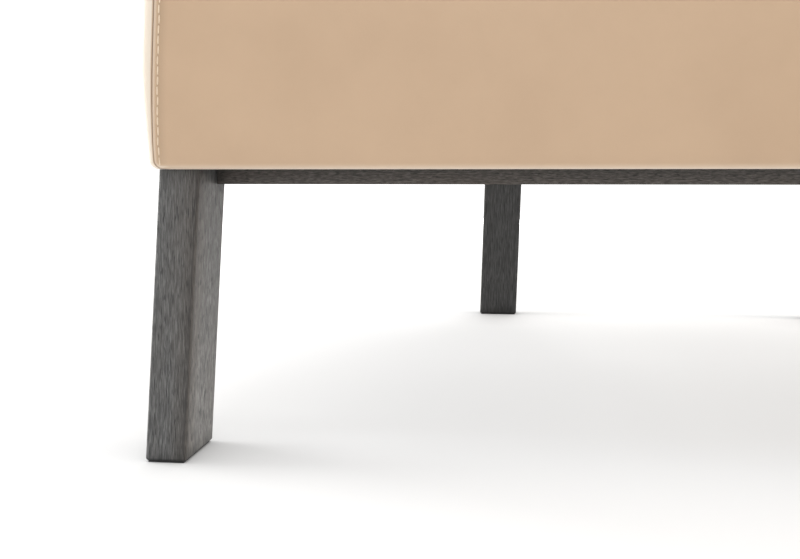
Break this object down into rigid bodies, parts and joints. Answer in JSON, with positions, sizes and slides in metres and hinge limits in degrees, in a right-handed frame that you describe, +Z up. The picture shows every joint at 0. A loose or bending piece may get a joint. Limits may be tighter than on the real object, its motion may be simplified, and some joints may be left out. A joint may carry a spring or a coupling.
{
  "type": "club armchair",
  "caption": "Low club armchair with a curved leather shell, a loose seat cushion and a charcoal oak base of splayed plank legs joined by recessed rails.",
  "frame": {"origin": "centre of the footprint, on the floor", "axes": "+Z up, the front faces -Y, +X is on the viewer's right when facing the front"},
  "size_m": [0.8, 0.7221, 0.735],
  "materials": {
    "stained_oak": "open-pored oak stained charcoal grey, matt oil",
    "beech": "planed, unfinished",
    "plywood": "bent, unfinished",
    "steel": "bright",
    "tan_leather": "smooth, light satin",
    "dark_plastic": "matt",
    "webbing": "woven elastic",
    "hessian": "coarse weave",
    "deck_cloth": "plain weave",
    "black_cloth": "non-woven",
    "foam": "open cell",
    "zip_tape": "woven tape with a moulded chain",
    "brass": "bright"
  },
  "bodies": {
    "chair": {"arm_board_left": "plywood", "arm_board_right": "plywood", "arm_rail_left": "beech", "arm_rail_right": "beech", "back_slat_left": "beech", "back_slat_right": "beech", "back_webbing": "webbing", "corner_block_left": "beech", "corner_block_right": "beech", "corner_post_left": "beech", "corner_post_right": "beech", "deck_pad": "deck_cloth", "dust_cover": "black_cloth", "front_arm_post_left": "beech", "front_arm_post_right": "beech", "front_glides": "dark_plastic", "front_leg_bolts": "steel", "front_leg_left": "stained_oak", "front_leg_right": "stained_oak", "front_panel": "tan_leather", "front_rail": "stained_oak", "inside_arm_left": "tan_leather", "inside_arm_right": "tan_leather", "inside_back": "tan_leather", "middle_rail": "stained_oak", "outside_arm_left": "tan_leather", "outside_arm_right": "tan_leather", "outside_back": "tan_leather", "rail_dowels": "beech", "rail_screws": "steel", "rear_arm_post_left": "beech", "rear_arm_post_right": "beech", "rear_glides": "dark_plastic", "rear_leg_left": "stained_oak", "rear_leg_right": "stained_oak", "rear_leg_screws": "steel", "rear_rail": "stained_oak", "rear_spring_rail": "beech", "seat_frame_front": "beech", "seat_frame_left": "beech", "seat_frame_rear_hoop": "plywood", "seat_frame_right": "beech", "seat_springs": "steel", "side_rail_left": "stained_oak", "side_rail_right": "stained_oak", "splice_blocks": "beech", "spring_clips": "steel", "spring_hessian": "hessian", "upper_back_hoop": "plywood"},
    "seat_cushion": {"seat_cushion_cover": "tan_leather", "cushion_foam_core": "foam", "cushion_zip": "zip_tape"},
    "zip_slider": {"zip_pull": "brass"}
  },
  "joints": [
    {"name": "seat_cushion_lift", "type": "slide", "parent": "chair", "child": "seat_cushion", "axis": [0, 0, 1], "range_m": [0, 0.3]},
    {"name": "cushion_zip_run", "type": "slide", "parent": "seat_cushion", "child": "zip_slider", "axis": [-1, 0, 0], "range_m": [0, 0.276]}
  ]
}
